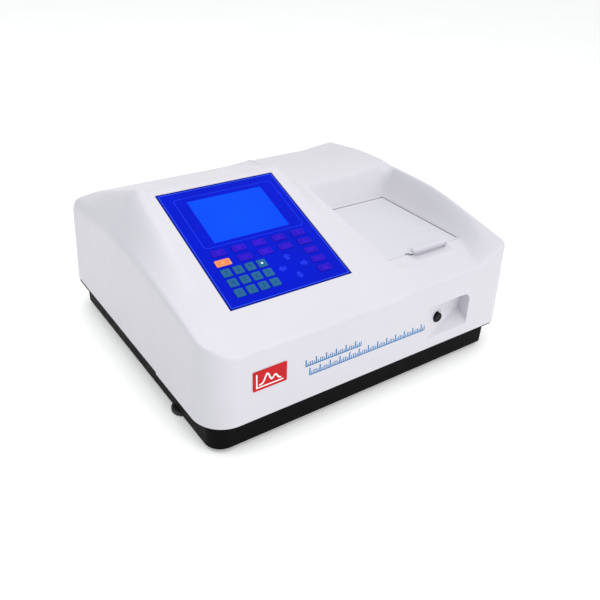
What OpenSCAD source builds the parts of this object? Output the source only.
// Double-beam benchtop spectrophotometer: moulded top cover on a black base tray,
// sloping key console, hinged sample lid and a pull-rod cell changer.
// Frame: +Z up, -Y is the front, origin at the centre of the footprint on the bench.

/* [Body] */
// Width of the cover at its lower edge (X)
body_w = 550; // [546:1:554]
// Depth of the cover at its lower edge (Y)
body_d = 490; // [486:1:494]
// Gap between the bench and the base tray
foot_h = 8; // [7:0.5:9]
// Height of the base tray
tray_h = 42; // [40:1:44]
// Wall thickness of the moulded cover
wall = 4; // [3.5:0.5:4]
// Draft of the cover's walls, in degrees
draft = 2; // [1.5:0.5:2.5]

/* [Console] */
// Slope of the key console, in degrees
console_tilt = 19.5; // [19:0.5:20]
// Width of the key panel
panel_w = 204; // [204:1:206]
// Length of the key panel up the slope
panel_l = 236.5; // [236:0.5:238]
// Travel of a key
key_travel = 0.8; // [0.4:0.1:0.9]

/* [Sample compartment] */
// Width of the sample lid
lid_w = 157; // [155:1:158]
// Length of the sample lid, front edge to hinge axis
lid_l = 189; // [187:1:190]
// Pitch of the cuvettes in the cell changer
cell_pitch = 20; // [19.5:0.5:20]
// Inside width of a cuvette pocket
cell_pocket = 12.6; // [12.5:0.1:12.8]

/* [Hidden] */
$fn = 48;
cover_z = foot_h + tray_h;          // lower edge of the cover
half_w = body_w / 2;
half_d = body_d / 2;
// Plan radius of the cover's corners: large at the front left, small at the others
function corner_r(x, y) = x < 0 && y < 0 ? 47 : 14;
edge_r = 8;                         // shoulder along the front and the sides
rear_r = 14;                        // shoulder along the back
lean = tan(draft);

// Console plane: its lower left corner and the local axes u (X), v (up the slope), n (out)
panel_x = -200.8;
panel_y = -174.8;
panel_z = 184;
console_slope = tan(console_tilt);
crest_y = 62;                       // where the console turns down to the rear
rear_slope = 0.355;

// Sample lid and its opening
lid_x = 78;
lid_z = 180;
lid_t = 3;
hinge_r = 4;
hinge_y = 24;
hinge_z = lid_z - hinge_r;
lid_front = hinge_y - lid_l;
lid_gap = 1;
pin_r = 2;
ear_t = 4.5;
ear_left = lid_x - 14;              // outer faces of the ears that hold the pin
ear_right = lid_x + lid_w + 15.5;

// Cell changer
rod_x = 137.5;
rod_z = 95.5;
rod_r = 3;
knob_r = 7.5;
run_fit = 0.05;                     // radial running clearance
beam_y = -78;                       // sample beam
ref_y = 5;                          // reference beam
cells = 4;
changer_y0 = beam_y - 16;
changer_y1 = beam_y + cell_pitch * (cells - 1) + 8;
changer_z0 = 72;
changer_h = 42;

// Rear connector plate
plate_x0 = -205;
plate_x1 = 65;
plate_z1 = 150;
plate_y = 230.4;
plate_t = 1.5;
window_z = [64, 144];               // height span of the opening in the cover
fan_x = 15;
fan_z = 105;
fan_w = 80;

// Keys: name, u, v, width, height, kind of cap
fkey = [22, 12];
nkey = [14.4, 14.4];
arrow = [13, 13];
arrow_c = [126.6, 42.5];
arrow_step = 19;
col_u = [27.3, 46.5, 65.7, 84.9];
row_v = [62.5, 43.4, 24.3];
num_names = [["key_7", "key_8", "key_9", "key_point"],
             ["key_4", "key_5", "key_6", "key_0"],
             ["key_1", "key_2", "key_3", "key_minus"]];
fn_u = [34.4, 68, 102, 136.5, 171];
KEYS = concat(
    [for (i = [0:4]) [str("key_f", i + 1), fn_u[i], 100.5, fkey.x, fkey.y, "purple"]],
    [for (i = [1:4]) [str("key_f", i + 5), fn_u[i], 81.5, fkey.x, fkey.y, "purple"]],
    [for (i = [0:2]) [str("key_f", i + 10), fn_u[4], row_v[i], fkey.x, fkey.y, "purple"]],
    [["key_start", 32, 81.5, 24, 12, "orange"]],
    [for (r = [0:2]) for (c = [0:3]) [num_names[r][c], col_u[c], row_v[r], nkey.x, nkey.y, "teal"]],
    [for (a = [0:3]) [["key_right", "key_up", "key_left", "key_down"][a],
        arrow_c.x + arrow_step * cos(90 * a), arrow_c.y + arrow_step * sin(90 * a),
        arrow.x, arrow.y, a]]);
overlay_t = 1.5;
key_gap = 0.3;
key_proud = 0.6;
flange_w = 1.1;                     // key flange beyond the cap, each side
flange_top = -overlay_t - 0.1;
key_bottom = -3;
board_top = key_bottom - key_travel - 1.2;
board_t = 1.6;
lcd_u = [39, 168];
lcd_v = [120, 211];

// ---- Outer surface of the cover ----------------------------------------------------

function clamp(t) = max(0, min(1, t));
function ease(a, b, t) = let (s = clamp((t - a) / (b - a))) s * s * (3 - 2 * s);
function ramp(a, b, t) = clamp((t - a) / (b - a));
function soft_min(a, b, k) = (a + b - sqrt((a - b) * (a - b) + k * k)) / 2;

console_crest = panel_z + (crest_y - panel_y) * console_slope + 0.4;
function console(y) = soft_min(console_crest + (y - crest_y) * console_slope,
                               console_crest - (y - crest_y) * rear_slope, 5);
// Left ridge, ridge beside the lid, right rim and the hump behind the lid
function left_ridge(y) = soft_min(208 - max(0, y) * 0.02, 208 + (y + 45) * 0.175, 10);
function lid_ridge(y) = soft_min(soft_min(190 + (y + 170) * 0.1925, 190 + (y + 170) * 0.35, 4),
                                 237 - (y - 60) * 0.145, 6);
function right_rim(y) = soft_min(soft_min(233, 221 + (y + 130) * 0.215, 8),
                                 233 - (y - 130) * 0.2, 8);
function hump(y) = soft_min(223, 223 - (y - 140) * 0.12, 6);
function front_apron(y) = lid_z + min(0, y - lid_front) * 0.155;
// Soft finger scoop in front of the lid's handle
function scoop(x, y) = 6 * ease(-190, lid_front - 2, y) * ease(120, 132, x) * (1 - ease(200, 210, x))
    * (y > lid_front ? 0 : 1);
function right_side(x, y) =
    let (ridge_w = 7 + 50 * (1 - ease(-205, -172, y)),
         base = front_apron(y),
         left = (1 - ease(70, 70 + ridge_w, x)) * (lid_ridge(y) - base),
         wall_x = lid_x + lid_w + 1 - 26 * (1 - ease(-240, -150, y)) - 90 * ease(40, 80, y),
         right = ease(wall_x, 266, x) * (right_rim(y) - base),
         rear = ramp(hinge_y + 6, 60, y) * (hump(y) - base))
    base + max(0, left, right, rear) + min(0, left) - scoop(x, y);
// The left flank rises evenly from its ridge and meets the console in a soft bend
function flank(x) = let (t = ramp(-270, -210, x)) t + ease(0, 1, t) - t * t;
function skin(x, y) = x < -208 ? left_ridge(y) + flank(x) * (console(y) - left_ridge(y))
    : x < 14 ? console(y)
    : x < 70 ? console(y) + ease(12, 70, x) * (lid_ridge(y) - console(y))
    : right_side(x, y);
// Rounded shoulders: how far the edge radius lowers the skin at a distance d from the wall
function round_off(d, r) = let (a = r - max(0.2, d)) a <= 0 ? 0 : r - sqrt(r * r - a * a);
function inside(x, y, z) =
    let (w = half_w - (z - cover_z) * lean, d = half_d - (z - cover_z) * lean, r = corner_r(x, y),
         qx = abs(x) - (w - r), qy = abs(y) - (d - r))
    r - norm([max(0, qx), max(0, qy)]) - min(0, max(qx, qy));
function top(x, y) =
    let (z = skin(x, y), wall_y = half_d - (z - cover_z) * lean,
         side_r = edge_r + (x < 0 ? 9 * ease(60, 200, y) : 0))
    z - max(round_off(inside(x, y, z), side_r), round_off(wall_y - y, rear_r));
// The inner surface stays a wall's thickness inside the outer one in every direction
function under(x, y) = min([for (i = [-1:1]) for (j = [-1:1]) top(x + i * wall, y + j * wall)]) - wall;

// Grid lines of the surface, as distances in from the edge and as places where its shape changes
edge_steps = [0, 0.8, 2.6, 5, 8.5, 14, 22];
grid_x = concat([for (e = edge_steps) -half_w + e],
    [-240, -225, -212, -205, -150, -100, -50, 8, 14, 30, 45, 58, 70, 73.5, 77, 100, 126, 160, 214, 224, 236,
     241, 246],
    [for (i = [6:-1:0]) half_w - edge_steps[i]]);
grid_y = concat([for (e = edge_steps) -half_d + e],
    [-210, -200, -188, -180, -166, -120, -80, -40, -5, 29, 38, 43, 54, 60, 66, 80, 100, 130, 160, 182, 200,
     216],
    [for (i = [6:-1:0]) half_d - edge_steps[i]]);

// Bends the grid's square corners into the plan radius
function plan(x, y) =
    let (r = corner_r(x, y), ax = (abs(x) - half_w + r) / r, ay = (abs(y) - half_d + r) / r)
    ax <= 0 || ay <= 0 ? [x, y]
    : let (k = max(ax, ay) / norm([ax, ay]))
      [sign(x) * (half_w - r * (1 - ax * k)), sign(y) * (half_d - r * (1 - ay * k))];
// Moves a place inward by e at the edge and by nothing 55 mm in from it
function pull(v, half, e) = v - sign(v) * e * ramp(half - 55, half, abs(v));
function spot(q, e) = [pull(q.x, half_w, e), pull(q.y, half_d, e)];

// The closed solid under the skin, moved inward by t, standing on the plane z0
module body_solid(t, z0) {
    nx = len(grid_x);
    ny = len(grid_y);
    // On the edge the place is worked out again at the edge's own height, so the walls are flat
    tops = [for (y = grid_y) for (x = grid_x)
        let (q = plan(x, y), s = spot(q, t + (skin(q.x, q.y) - cover_z) * lean),
             z = t == 0 ? top(s.x, s.y) : under(s.x, s.y),
             edge = abs(x) == half_w || abs(y) == half_d,
             w = edge ? spot(q, t + (z - cover_z) * lean) : s)
        [w.x, w.y, z]];
    rim = concat([for (i = [0:nx - 2]) i], [for (j = [0:ny - 2]) j * nx + nx - 1],
                 [for (i = [nx - 1:-1:1]) (ny - 1) * nx + i], [for (j = [ny - 1:-1:1]) j * nx]);
    m = len(rim);
    feet = [for (k = rim) let (i = k % nx, j = floor(k / nx), s = spot(plan(grid_x[i], grid_y[j]), t))
        [s.x, s.y, z0]];
    up = [for (j = [0:ny - 2]) for (i = [0:nx - 2]) let (c = j * nx + i)
        each [[c, c + nx, c + nx + 1], [c, c + nx + 1, c + 1]]];
    n = nx * ny;
    sides = [for (k = [0:m - 1]) let (l = (k + 1) % m) each [[rim[k], rim[l], n + l], [rim[k], n + l, n + k]]];
    polyhedron(concat(tops, feet), concat(up, sides, [[for (k = [m - 1:-1:0]) n + m - 1 - k]]));
}

// ---- Small shapes ---------------------------------------------------------------------

module rounded(w, d, r) {
    square([w - 2 * r, d], center = true);
    square([w, d - 2 * r], center = true);
    for (x = [-1, 1], y = [-1, 1]) translate([x * (w / 2 - r), y * (d / 2 - r)]) circle(r);
}

module slab(x0, y0, z0, x1, y1, z1) {
    translate([x0, y0, z0]) cube([x1 - x0, y1 - y0, z1 - z0]);
}

module rod_y(x, y0, y1, z, r) {
    translate([x, y1, z]) rotate([90, 0, 0]) cylinder(r = r, h = y1 - y0);
}

module rod_xx(x0, x1, y, z, r) {
    translate([x0, y, z]) rotate([0, 90, 0]) cylinder(r = r, h = x1 - x0);
}

module on_console() {
    translate([panel_x, panel_y, panel_z]) rotate([console_tilt, 0, 0]) children();
}

module key_outline(k, grow = 0) {
    w = k[3] + 2 * grow;
    h = k[4] + 2 * grow;
    translate([k[1], k[2]])
        if (is_num(k[5])) rotate(90 * k[5])
            polygon([[-w / 2, -h / 4], [0, -h / 4], [0, -h / 2], [w / 2, 0], [0, h / 2], [0, h / 4], [-w / 2, h / 4]]);
        else rounded(w, h, 1.8);
}

key_colours = ["purple", "#4a1fb8", "orange", "#f08040", "teal", "#2a7f96"];
function key_colour(k) = is_num(k[5]) ? "#2a48d8" : key_colours[search([k[5]], key_colours)[0] + 1];

// ---- Cover and base -------------------------------------------------------------------

// The finger pocket beside the pull rod's knob: deep at the right, flush at the left and below
module knob_pocket(t) {
    x0 = 101 - t;
    x1 = 197 + t;
    flush_y = -242 + t;
    deep_y = -222 + t;
    hull() {
        for (p = [[x0 + 14, flush_y], [x1 - 14, deep_y]])
            translate([p.x, p.y, 113 + t]) rotate([90, 0, 0]) cylinder(r = 14, h = 40, $fn = 24);
        for (p = [[x0 + 6, flush_y], [x1 - 6, deep_y]])
            translate([p.x, p.y, 94]) rotate([90, 0, 0]) cylinder(r = 6, h = 40, $fn = 16);
        for (x = [x0 + 6, x1 - 6])
            translate([x, -246 + t, 74 - t]) rotate([90, 0, 0]) cylinder(r = 6, h = 20, $fn = 16);
    }
}

screw_places = [for (x = [-267, 267], y = [-175, 0, 175]) [x, y]];

module top_cover() {
    color("#dcdbe2") difference() {
        body_solid(0, cover_z);
        difference() {
            body_solid(wall, cover_z - 1);
            knob_pocket(3);
            for (p = screw_places) translate([p.x, p.y, cover_z]) cylinder(r = 5, h = 22, $fn = 16);
        }
        knob_pocket(0);
        rod_y(rod_x, -250, -215, rod_z, knob_r + 0.8, $fn = 32);
        for (p = screw_places) translate([p.x, p.y, cover_z - 1]) cylinder(r = 2, h = 16, $fn = 16);
        // Recess for the key panel and the window through to the board
        on_console() {
            slab(-0.4, -0.4, -overlay_t, panel_w + 0.4, panel_l + 0.4, 6);
            slab(5, 5, -30, panel_w - 5, panel_l - 5, 2);
        }
        // Opening for the sample lid and its hinge pin
        slab(lid_x - lid_gap, lid_front - lid_gap, 150, lid_x + lid_w + lid_gap, hinge_y + hinge_r + lid_gap,
            lid_z + 60);
        rod_xx(ear_left - 2, ear_right + 2, hinge_y, hinge_z, pin_r + 0.6, $fn = 16);
        // Rear connector opening, side air slots and the relief along the left lower edge
        slab(plate_x0 + 10, 225, window_z[0], plate_x1 - 10, 260, window_z[1]);
        for (i = [0:7]) slab(260, 60 + 14 * i, 83, 280, 64 + 14 * i, 129);
        slab(-280, -85, cover_z - 1, -258, 250, cover_z + 3.5);
    }
}

// The tray's outline, with a larger corner at the front left
module tray_outline(w, d, r, big_r) {
    difference() {
        rounded(w, d, r);
        translate([big_r - w / 2, big_r - d / 2]) difference() {
            translate([-big_r - 1, -big_r - 1]) square(big_r + 1);
            circle(big_r);
        }
    }
}

module base_tray() {
    tray_w = 526;
    tray_d = 470;
    t = 3;
    color("#17181a") difference() {
        union() {
            difference() {
                union() {
                    translate([0, 0, foot_h]) linear_extrude(tray_h) tray_outline(tray_w, tray_d, 12, 26);
                    translate([0, 0, cover_z - 3.5]) linear_extrude(3.5) tray_outline(547, 487, 13, 45);
                }
                translate([0, 0, foot_h + t]) linear_extrude(tray_h)
                    tray_outline(tray_w - 2 * t, tray_d - 2 * t, 9, 23);
            }
            for (p = concat(foot_places, rear_places)) translate([p.x, p.y, foot_h]) cylinder(r = 9, h = 16);
        }
        for (p = foot_places) translate([p.x, p.y, 0]) cylinder(r = 4 + run_fit, h = 60);
        for (p = rear_places) translate([p.x, p.y, 0]) cylinder(r = 3, h = 20);
        for (p = screw_places) translate([p.x, p.y, 0]) cylinder(r = 1.75, h = 60);
    }
}

foot_places = [[-252, -122], [252, -122]];
rear_places = [[-225, 195], [225, 195]];

// Adjustable foot: a thumb wheel with a lighter hub on a screw
module adjustable_foot(p) {
    color("#101012") translate([p.x, p.y, 0]) difference() {
        union() {
            cylinder(r = 19.5, h = foot_h - 0.5);
            cylinder(r = 4, h = 34);
        }
        for (a = [0:30:330]) rotate(a) translate([20.2, 0, -1]) cylinder(r = 1.5, h = foot_h + 2);
    }
}

module rear_feet() {
    color("#101012") for (p = rear_places) translate([p.x, p.y, 0]) {
        cylinder(r = 13, h = foot_h);
        cylinder(r = 3, h = 18);
    }
}

// Screws that hold the cover down on the tray's flange
module cover_screws() {
    color("#8c9096") for (p = screw_places) translate([p.x, p.y, cover_z - 3.5]) {
        cylinder(r = 1.5, h = 14);
        translate([0, 0, -2]) cylinder(r = 3, h = 2);
    }
}

// ---- Console ------------------------------------------------------------------------------

module keypad_overlay() {
    color("#0a1fbe") on_console() translate([0, 0, -overlay_t]) linear_extrude(overlay_t) difference() {
        translate([panel_w / 2, panel_l / 2]) rounded(panel_w, panel_l, 2);
        translate([lcd_u[0], lcd_v[0]]) square([lcd_u[1] - lcd_u[0], lcd_v[1] - lcd_v[0]]);
        for (k = KEYS) key_outline(k, key_gap);
    }
}

module lcd_window() {
    color("#1464ff") on_console() {
        slab(lcd_u[0], lcd_v[0], -overlay_t, lcd_u[1], lcd_v[1], -0.3);
        slab(lcd_u[0] - 4, lcd_v[0] - 4, board_top, lcd_u[1] + 4, lcd_v[1] + 4, -overlay_t);
    }
}

module key(k) {
    color(key_colour(k)) on_console() {
        translate([0, 0, key_bottom]) linear_extrude(key_proud - key_bottom) key_outline(k);
        translate([0, 0, key_bottom]) linear_extrude(flange_top - key_bottom) key_outline(k, flange_w);
    }
}

module keypad_board() {
    color("#1d6b3a") on_console() {
        slab(7, 7, board_top - board_t, panel_w - 7, panel_l - 7, board_top);
        for (u = [11, panel_w - 11], v = [11, 112, panel_l - 11])
            translate([u, v, board_top]) cylinder(r = 3, h = -overlay_t - board_top);
    }
}

module front_badge() {
    badge_z = 113;
    color("#c81e28") translate([-181, -half_d + (badge_z - cover_z) * lean, badge_z]) rotate([90 - draft, 0, 0])
        linear_extrude(1) rounded(47, 37, 1.5);
}

// ---- Sample compartment ---------------------------------------------------------------

module sample_lid() {
    x1 = lid_x + lid_w;
    lip_bottom = lid_z - 12;
    color("#dedde4") difference() {
        union() {
            slab(lid_x, lid_front, lid_z - lid_t, x1, hinge_y, lid_z);
            rod_xx(lid_x, x1, hinge_y, hinge_z, hinge_r);
            slab(lid_x + 8, lid_front + 6, lip_bottom, x1 - 8, lid_front + 8, lid_z - lid_t);
            slab(lid_x + 8, lid_front + 6, lip_bottom, lid_x + 10, hinge_y - 14, lid_z - lid_t);
            slab(x1 - 10, lid_front + 6, lip_bottom, x1 - 8, hinge_y - 14, lid_z - lid_t);
            // Raised handle lip along the front edge
            rod_xx(139, 211, lid_front + 6, lid_z, 4.5);
            for (x = [139, 211]) translate([x, lid_front + 6, lid_z]) sphere(4.5);
        }
        rod_xx(lid_x - 1, x1 + 1, hinge_y, hinge_z, pin_r + run_fit);
    }
}

module hinge_pin() {
    color("#b8bcc2") rod_xx(ear_left - 1, ear_right + 1, hinge_y, hinge_z, pin_r);
}

tub_x0 = 82;
tub_x1 = 231;
tub_y0 = -161;
tub_y1 = 17;
tub_z0 = 64;
tub_top = lid_z - 14;

module compartment_tub() {
    t = 2;
    color("#2b2c30") difference() {
        union() {
            slab(tub_x0, tub_y0, tub_z0, tub_x1, tub_y1, tub_top);
            for (x = [92, 221], y = [-150, 6]) translate([x, y, foot_h + 3]) cylinder(r = 6, h = 56);
            rod_y(rod_x, tub_y0 - 8, tub_y0 + 1, rod_z, 8);
            // Ears that carry the hinge pin at both ends
            for (x = [ear_left, ear_right - ear_t]) {
                slab(x, hinge_y - 6, tub_top - 26, x + ear_t, hinge_y + 3, hinge_z);
                rod_xx(x, x + ear_t, hinge_y, hinge_z, 3.2);
            }
            slab(ear_left, hinge_y - 7.5, tub_top - 26, ear_right, hinge_y - 4, tub_top - 14);
        }
        slab(tub_x0 + t, tub_y0 + t, tub_z0 + t, tub_x1 - t, tub_y1 - t, tub_top + 1);
        rod_y(rod_x, tub_y0 - 12, tub_y0 + 4, rod_z, rod_r + run_fit);
        rod_xx(ear_left - 1, ear_right + 1, hinge_y, hinge_z, pin_r);
        // Beam windows through both side walls
        for (y = [beam_y, ref_y]) rod_xx(tub_x0 - 1, tub_x1 + 1, y, 90, 7);
    }
    // Rails that the cell carriage slides on
    color("#2b2c30") for (x = [rod_x - 20, rod_x + 16])
        slab(x, tub_y0 + t, tub_z0 + t, x + 4, changer_y1, changer_z0 - 4.1);
}

module cuvette_block(y0, y1, centres) {
    w = 24;
    difference() {
        slab(rod_x - w / 2, y0, changer_z0, rod_x + w / 2, y1, changer_z0 + changer_h);
        for (y = centres) {
            slab(rod_x - cell_pocket / 2, y - cell_pocket / 2, changer_z0 + 6,
                rod_x + cell_pocket / 2, y + cell_pocket / 2, changer_z0 + changer_h + 1);
            slab(rod_x - w, y - 4, 83, rod_x + w, y + 4, 99);
        }
    }
}

module cell_carriage() {
    color("#3a3c42") difference() {
        union() {
            cuvette_block(changer_y0, changer_y1, [for (i = [0:cells - 1]) beam_y + cell_pitch * i]);
            slab(rod_x - 22, changer_y0, changer_z0 - 4, rod_x + 22, changer_y1, changer_z0);
        }
        rod_y(rod_x, changer_y0 - 1, changer_y0 + 6, rod_z, rod_r);
    }
}

module pull_rod() {
    color("#c9ccd1") rod_y(rod_x, -236, changer_y0 + 6, rod_z, rod_r);
}

module rod_knob() {
    color("#0b0b0d") difference() {
        union() {
            rod_y(rod_x, -238, -221, rod_z, knob_r);
            rod_y(rod_x, -239.5, -238, rod_z, knob_r - 1);
        }
        rod_y(rod_x, -236, -210, rod_z, rod_r);
    }
}

module reference_holder() {
    color("#3a3c42") {
        cuvette_block(ref_y - 10, ref_y + 10, [ref_y]);
        slab(rod_x - 16, ref_y - 10, tub_z0 + 2, rod_x + 16, ref_y + 10, changer_z0);
    }
}

// ---- Optics and electronics ----------------------------------------------------------------

mono = [[-110, -120, foot_h + 3], [62, 60, 150]];
grating_c = [-40, 20];

module monochromator_case() {
    t = 4;
    color("#55585e") difference() {
        slab(mono[0].x, mono[0].y, mono[0].z, mono[1].x, mono[1].y, mono[1].z);
        slab(mono[0].x + t, mono[0].y + t, 60, mono[1].x - t, mono[1].y - t, mono[1].z + 1);
        slab(mono[0].x + t, mono[0].y + t, mono[0].z - 1, mono[1].x - t, mono[1].y - t, 52);
        for (y = [beam_y, ref_y]) rod_xx(mono[1].x - t - 1, mono[1].x + 1, y, 90, 6);
        rod_y(-75, mono[1].y - t - 1, mono[1].y + 1, 90, 6);
        translate([grating_c.x, grating_c.y, 40]) cylinder(r = 5 + run_fit, h = 30);
    }
}

module grating_table() {
    color("#8f949c") translate([grating_c.x, grating_c.y, 0]) {
        translate([0, 0, 40]) cylinder(r = 5, h = 26);
        translate([0, 0, 62]) cylinder(r = 22, h = 6);
        translate([-18, -5, 68]) cube([36, 10, 38]);
    }
}

lamp = [[-170, 85, foot_h + 3], [-100, 205, 130]];
mirror_c = [-75, 100];

module lamp_house() {
    t = 2;
    color("#9a9da3") difference() {
        union() {
            slab(lamp[0].x, lamp[0].y, lamp[0].z, lamp[1].x, lamp[1].y, lamp[1].z);
            slab(lamp[1].x - t, mirror_c.y - 12, lamp[0].z, mirror_c.x + 12, mirror_c.y + 12, lamp[0].z + 9);
        }
        translate([mirror_c.x, mirror_c.y, 0]) cylinder(r = 4 + run_fit, h = 40);
        slab(lamp[0].x + t, lamp[0].y + t, lamp[0].z + t, lamp[1].x - t, lamp[1].y - t, lamp[1].z + 1);
        rod_xx(lamp[1].x - t - 1, lamp[1].x + 1, mirror_c.y + 6, 90, 9);
        rod_xx(lamp[1].x - t - 1, lamp[1].x + 1, 170, 90, 9);
    }
}

module lamp_tube(y, r, h) {
    translate([-135, y, lamp[0].z + 2]) {
        cylinder(r = 16, h = 40);
        translate([0, 0, 40]) cylinder(r = r, h = h);
        translate([0, 0, 40 + h]) sphere(r);
    }
}

// The deuterium and the halogen lamp
module lamps() {
    color("#e8e4f4") lamp_tube(170, 14, 40);
    color("#f4e8c8") lamp_tube(112, 6, 36);
}

module lamp_mirror() {
    color("#c0c6d0") translate([mirror_c.x, mirror_c.y, 0]) {
        translate([0, 0, foot_h + 3.5]) cylinder(r = 4, h = 60);
        translate([0, 0, 70]) cylinder(r = 11, h = 5);
        rotate(45) translate([-10, -2, 74]) cube([20, 4, 31]);
    }
}

module detector_case() {
    color("#4a4d54") difference() {
        slab(234, -95, foot_h + 3, 258, 24, 112);
        slab(237, -92, 60, 255, 21, 109);
        for (y = [beam_y, ref_y]) rod_xx(233, 238, y, 90, 7);
    }
}

module main_board() {
    z = foot_h + 3;
    color("#1d6b3a") {
        slab(-238, -190, z + 8, -118, 60, z + 9.6);
        for (x = [-231, -125], y = [-183, 53]) translate([x, y, z]) cylinder(r = 3, h = 8);
        slab(-215, -120, z + 9.6, -180, -85, z + 13);
        slab(-165, -60, z + 9.6, -140, -10, z + 14);
    }
}

module power_supply() {
    color("#a4a7ac") slab(-90, 125, foot_h + 3, 60, 205, foot_h + 55);
}

// ---- Rear connectors ------------------------------------------------------------------------

inlet_c = [-165, 88];
switch_c = [-165, 126];
port_c = [-105, 96];
switch_rest = 9;                    // tilt of the rocker in its off position
rocker = [22, 7, 18];

module rear_plate() {
    y0 = plate_y - 1;
    y1 = plate_y + 10;
    tab_x = rocker.x / 2 + 0.4;
    color("#b4b7bc") {
        difference() {
            slab(plate_x0, plate_y, foot_h + 3, plate_x1, plate_y + plate_t, plate_z1);
            slab(inlet_c.x - 14, y0, inlet_c.y - 10, inlet_c.x + 14, y1, inlet_c.y + 10);
            slab(switch_c.x - tab_x, y0, switch_c.y - 11, switch_c.x + tab_x, y1, switch_c.y + 11);
            slab(port_c.x - 16, y0, port_c.y - 6.5, port_c.x + 16, y1, port_c.y + 6.5);
            rod_y(fan_x, y0, y1, fan_z, 37);
            for (x = [-1, 1], z = [-1, 1]) rod_y(fan_x + x * 35.75, y0, y1, fan_z + z * 35.75, 2);
        }
        // Tabs that carry the rocker's pivots
        for (x = [-tab_x - 2, tab_x]) difference() {
            slab(switch_c.x + x, plate_y - 7, switch_c.y - 5, switch_c.x + x + 2, plate_y, switch_c.y + 5);
            rod_xx(switch_c.x + x - 1, switch_c.x + x + 3, plate_y - 2.5, switch_c.y, 1.5 + run_fit);
        }
    }
}

module power_inlet() {
    c = inlet_c;
    color("#141416") difference() {
        union() {
            slab(c.x - 14, plate_y - 18, c.y - 10, c.x + 14, plate_y + 2, c.y + 10);
            slab(c.x - 19, plate_y + plate_t, c.y - 14, c.x + 19, plate_y + 4.5, c.y + 14);
        }
        slab(c.x - 12, plate_y - 14, c.y - 8, c.x + 12, plate_y + 8, c.y + 8);
    }
    color("#c9ccd1") for (x = [-7, 0, 7])
        slab(c.x + x - 1, plate_y - 15, c.y - 2, c.x + x + 1, plate_y, c.y + 2);
}

module power_switch() {
    color("#1a1a1c") translate([switch_c.x, plate_y - 2.5, switch_c.y]) rotate([switch_rest, 0, 0]) {
        difference() {
            translate([-rocker.x / 2, -1, -rocker.z / 2]) cube(rocker);
            translate([-20, 40 + rocker.y - 2.2, 0]) rotate([0, 90, 0]) cylinder(r = 40, h = 40);
        }
        rotate([0, 90, 0]) cylinder(r = 1.5, h = rocker.x + 4, center = true);
    }
}

module data_port() {
    c = port_c;
    color("#9a9da3") difference() {
        union() {
            slab(c.x - 16, plate_y - 8, c.y - 6.5, c.x + 16, plate_y + 2, c.y + 6.5);
            slab(c.x - 13, plate_y + 1, c.y - 5, c.x + 13, plate_y + 7, c.y + 5);
        }
        slab(c.x - 12, plate_y - 5, c.y - 4, c.x + 12, plate_y + 10, c.y + 4);
    }
}

module fan_frame() {
    h = fan_w / 2;
    color("#111113") difference() {
        union() {
            difference() {
                slab(fan_x - h, plate_y - 25, fan_z - h, fan_x + h, plate_y, fan_z + h);
                rod_y(fan_x, plate_y - 26, plate_y + 1, fan_z, 38);
            }
            for (a = [45, 135]) translate([fan_x, plate_y - 23.5, fan_z]) rotate([0, a, 0])
                cube([77, 3, 5], center = true);
            rod_y(fan_x, plate_y - 25, plate_y - 20, fan_z, 16);
            rod_y(fan_x, plate_y - 21, plate_y - 8, fan_z, 2);
        }
        for (x = [-1, 1], z = [-1, 1]) rod_y(fan_x + x * 35.75, plate_y - 26, plate_y + 1, fan_z + z * 35.75, 2);
    }
}

module fan_rotor() {
    color("#1d1d20") difference() {
        union() {
            rod_y(fan_x, plate_y - 19, plate_y - 4, fan_z, 17);
            for (a = [0:360 / 7:359]) translate([fan_x, plate_y - 11.5, fan_z]) rotate([0, a, 0])
                translate([26, 0, 0]) rotate([35, 0, 0]) cube([20, 1.6, 17], center = true);
        }
        rod_y(fan_x, plate_y - 20, plate_y - 6, fan_z, 2 + run_fit);
    }
}

top_cover();
base_tray();
adjustable_foot(foot_places[0]);  // foot_left
adjustable_foot(foot_places[1]);  // foot_right
rear_feet();
keypad_overlay();
lcd_window();
keypad_board();
front_badge();
sample_lid();
hinge_pin();
compartment_tub();
cell_carriage();
pull_rod();
rod_knob();
reference_holder();
monochromator_case();
grating_table();
lamp_house();
lamp_mirror();
lamps();
cover_screws();
detector_case();
main_board();
power_supply();
rear_plate();
power_inlet();
power_switch();
data_port();
fan_frame();
fan_rotor();
for (k = KEYS) key(k);
